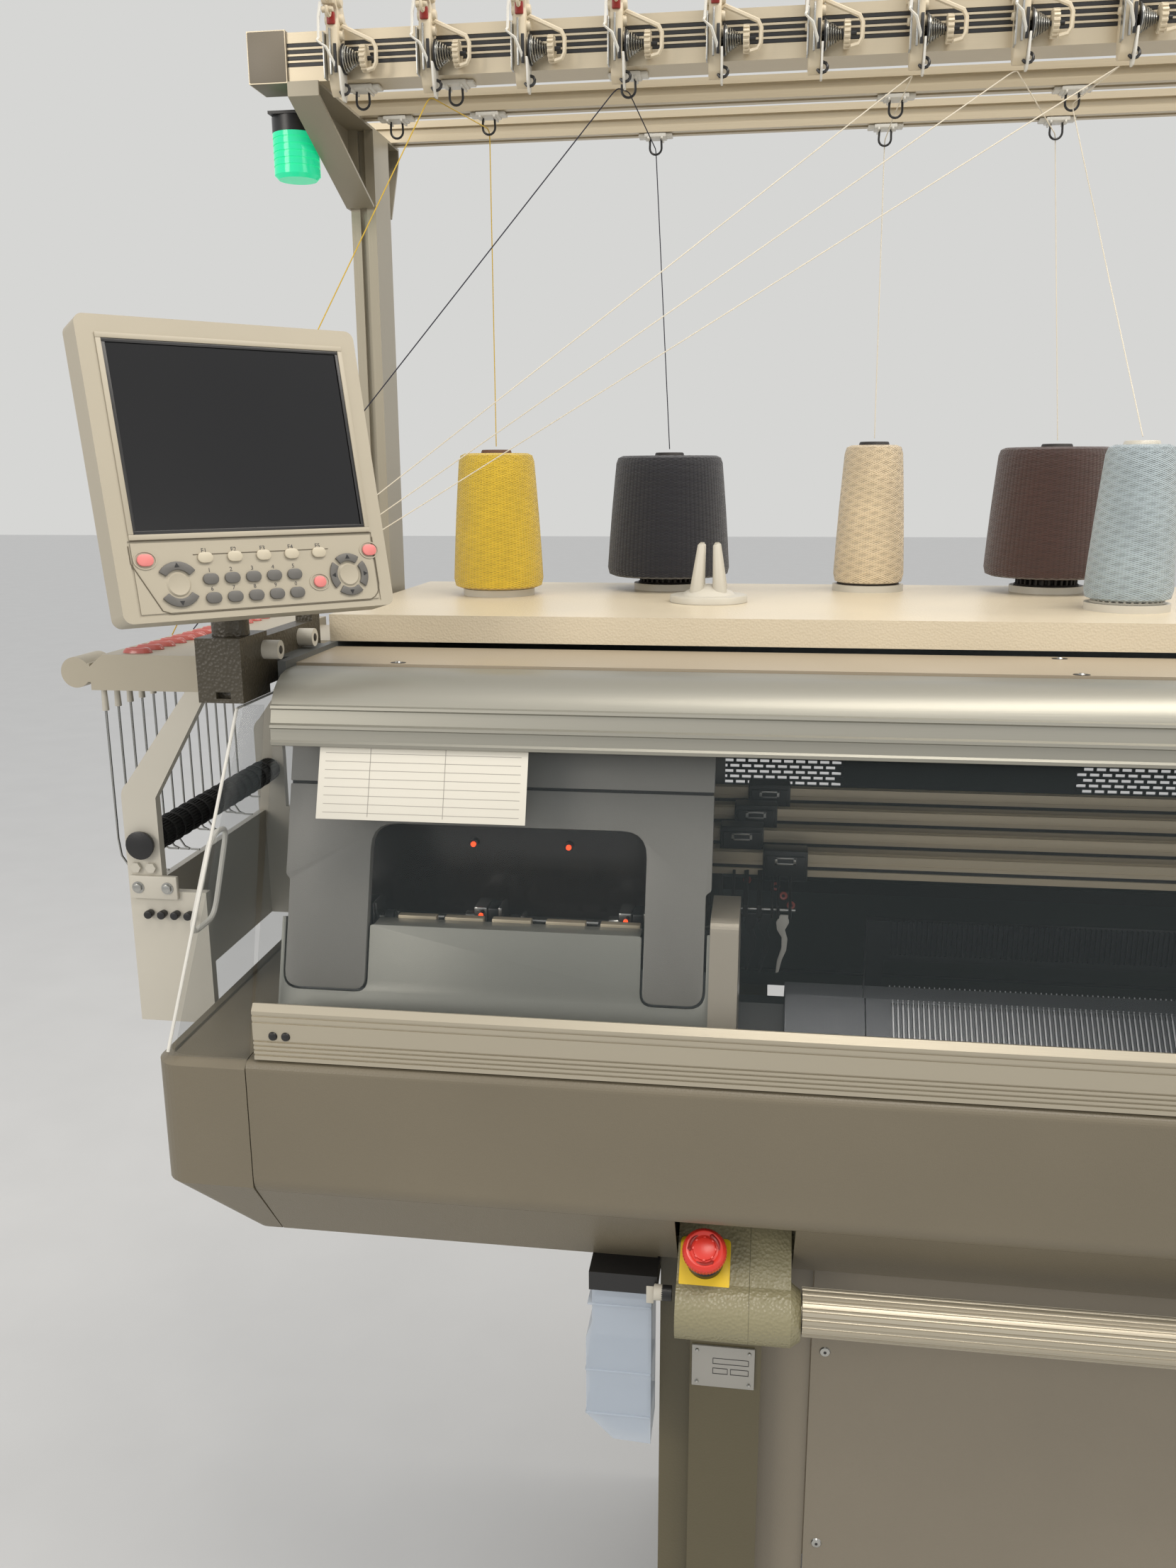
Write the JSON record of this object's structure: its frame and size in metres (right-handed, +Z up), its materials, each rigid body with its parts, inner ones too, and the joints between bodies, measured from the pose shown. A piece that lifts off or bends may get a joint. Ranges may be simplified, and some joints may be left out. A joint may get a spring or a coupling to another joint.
{
  "type": "flat knitting machine",
  "caption": "Computerised flat knitting machine: V needle beds under a clear safety cover, carriage on feeder rails, cone table with creel, swivelling screen and side yarn tension.",
  "frame": {"origin": "on the floor, under the centre of the bounding box", "axes": "+X to the operator's right along the needle beds, +Y from the operator to the back, +Z up"},
  "size_m": [2.933, 0.7364, 2.022],
  "materials": {
    "beige_paint": "satin",
    "table_paint": "satin",
    "stand_paint": "satin",
    "arch_paint": "satin",
    "silver_paint": "metallic",
    "cream_plastic": "matte",
    "white_plastic": "matte",
    "olive_casting": "hammered",
    "grey_paint": "satin",
    "cast_bed": "machined",
    "bed_steel": "ground",
    "anodised": "satin",
    "dark_anodised": "satin",
    "black_metal": "satin",
    "foot_steel": "plain",
    "clear_sheet": "clear",
    "screen_glass": "gloss",
    "key_plastic": "matte",
    "pink_ceramic": "glazed",
    "lamp_black": "matte",
    "lamp_green": "gloss",
    "stop_red": "gloss",
    "black_rubber": "matte",
    "yarn_light": "spun",
    "yarn_dark": "spun"
  },
  "bodies": {
    "machine": {"front_cover": "beige_paint", "left_end_cover": "beige_paint", "right_end_cover": "beige_paint", "kick_panel": "beige_paint", "control_cabinet": "beige_paint", "trim_beam": "table_paint", "cone_table": "table_paint", "machine_frame": "stand_paint", "side_housing": "cream_plastic", "tension_units": "cream_plastic", "cone_holders": "white_plastic", "side_arm": "white_plastic", "oil_bottle": "white_plastic", "cover_bumpers": "white_plastic", "bar_brackets": "olive_casting", "screen_bracket": "olive_casting", "rear_panel": "grey_paint", "end_frames": "grey_paint", "bed_beam": "cast_bed", "front_needle_bed": "bed_steel", "rear_needle_bed": "bed_steel", "sinker_comb": "bed_steel", "wire_arms": "bed_steel", "feeder_rails": "anodised", "creel_posts": "anodised", "creel_arms": "anodised", "tension_rail": "anodised", "eyelet_rails": "anodised", "bottle_bracket": "black_metal", "yarn_eyelets": "black_metal", "levelling_feet": "foot_steel", "side_windows": "clear_sheet", "side_eyelets": "pink_ceramic", "lamp_base": "lamp_black", "lamp_lens": "lamp_green", "drive_belt": "black_rubber", "front_cones": "yarn_light", "yarn_threads": "yarn_light", "rear_cones": "yarn_dark"},
    "carriage": {"carriage_arch": "arch_paint", "carriage_cover": "silver_paint", "carriage_panel": "silver_paint", "cam_boxes": "bed_steel", "step_motors": "black_metal"},
    "drive_wheel": {"drive_pulley": "bed_steel"},
    "idler_wheel": {"idler_pulley": "bed_steel"},
    "safety_cover": {"cover_top_rail": "dark_anodised", "cover_pane": "clear_sheet", "cover_grip_rail": "anodised"},
    "swivel": {"screen_neck": "olive_casting"},
    "screen": {"screen_housing": "cream_plastic", "screen_glass": "screen_glass", "screen_keys": "key_plastic"},
    "stop_plunger": {"stop_stem": "bed_steel"},
    "stop_mushroom": {"stop_head": "stop_red"},
    "start_bar": {"operating_bar": "anodised"},
    "feed_wheel": {"feed_roller": "black_rubber"},
    "take_down": {"take_down_roller": "black_rubber"},
    "pressure": {"pressure_roller": "black_rubber"},
    "feeder": {"yarn_feeder": "black_metal"}
  },
  "joints": [
    {"name": "carriage_traverse", "type": "slide", "parent": "machine", "child": "carriage", "axis": [1, 0, 0], "range_m": [0, 2.16]},
    {"name": "drive_pulley_spin", "type": "hinge", "parent": "machine", "child": "drive_wheel", "pos_m": [1.3085, 0.18719, 1.06], "axis": [0, 0, 1], "range_deg": [-10, 4000]},
    {"name": "idler_pulley_spin", "type": "hinge", "parent": "machine", "child": "idler_wheel", "pos_m": [-1.1755, 0.18719, 1.06], "axis": [0, 0, 1], "range_deg": [-10, 4000]},
    {"name": "safety_cover_lift", "type": "hinge", "parent": "machine", "child": "safety_cover", "pos_m": [0.0665, -0.17881, 1.361], "axis": [-1, 0, 0], "range_deg": [0, 60]},
    {"name": "screen_swivel", "type": "hinge", "parent": "machine", "child": "swivel", "pos_m": [-1.2755, -0.22081, 1.405], "axis": [0, 0, 1], "range_deg": [-47, 40]},
    {"name": "screen_tilt", "type": "hinge", "parent": "swivel", "child": "screen", "pos_m": [-1.2755, -0.22081, 1.54], "axis": [0.682, 0.7314, 0], "range_deg": [-15, 10]},
    {"name": "stop_press", "type": "slide", "parent": "machine", "child": "stop_plunger", "axis": [0, 0.6157, -0.788], "range_m": [0, 0.004], "stiffness_N_per_m": 600},
    {"name": "stop_twist", "type": "hinge", "parent": "stop_plunger", "child": "stop_mushroom", "pos_m": [-0.8255, -0.30481, 0.84809], "axis": [0, -0.6157, 0.788], "range_deg": [0, 45], "stiffness_Nm_per_rad": 0.02},
    {"name": "start_bar_turn", "type": "hinge", "parent": "machine", "child": "start_bar", "pos_m": [0.0665, -0.32181, 0.816], "axis": [1, 0, 0], "range_deg": [-12, 12], "stiffness_Nm_per_rad": 6},
    {"name": "feed_roller_spin", "type": "hinge", "parent": "machine", "child": "feed_wheel", "pos_m": [-1.3985, -0.10281, 1.19], "axis": [0, 1, 0], "continuous": true},
    {"name": "take_down_spin", "type": "hinge", "parent": "machine", "child": "take_down", "pos_m": [0.0665, -0.08266, 0.8], "axis": [1, 0, 0], "continuous": true},
    {"name": "pressure_roller_spin", "type": "hinge", "parent": "machine", "child": "pressure", "pos_m": [0.0665, -0.12296, 0.8], "axis": [1, 0, 0], "continuous": true},
    {"name": "feeder_traverse", "type": "slide", "parent": "machine", "child": "feeder", "axis": [1, 0, 0], "range_m": [0, 1.6]}
  ],
  "couplings": [
    {"joint": "drive_pulley_spin", "follows": "carriage_traverse", "rad_per_m": 32},
    {"joint": "idler_pulley_spin", "follows": "carriage_traverse", "rad_per_m": 32},
    {"joint": "pressure_roller_spin", "follows": "take_down_spin", "ratio": -1}
  ]
}
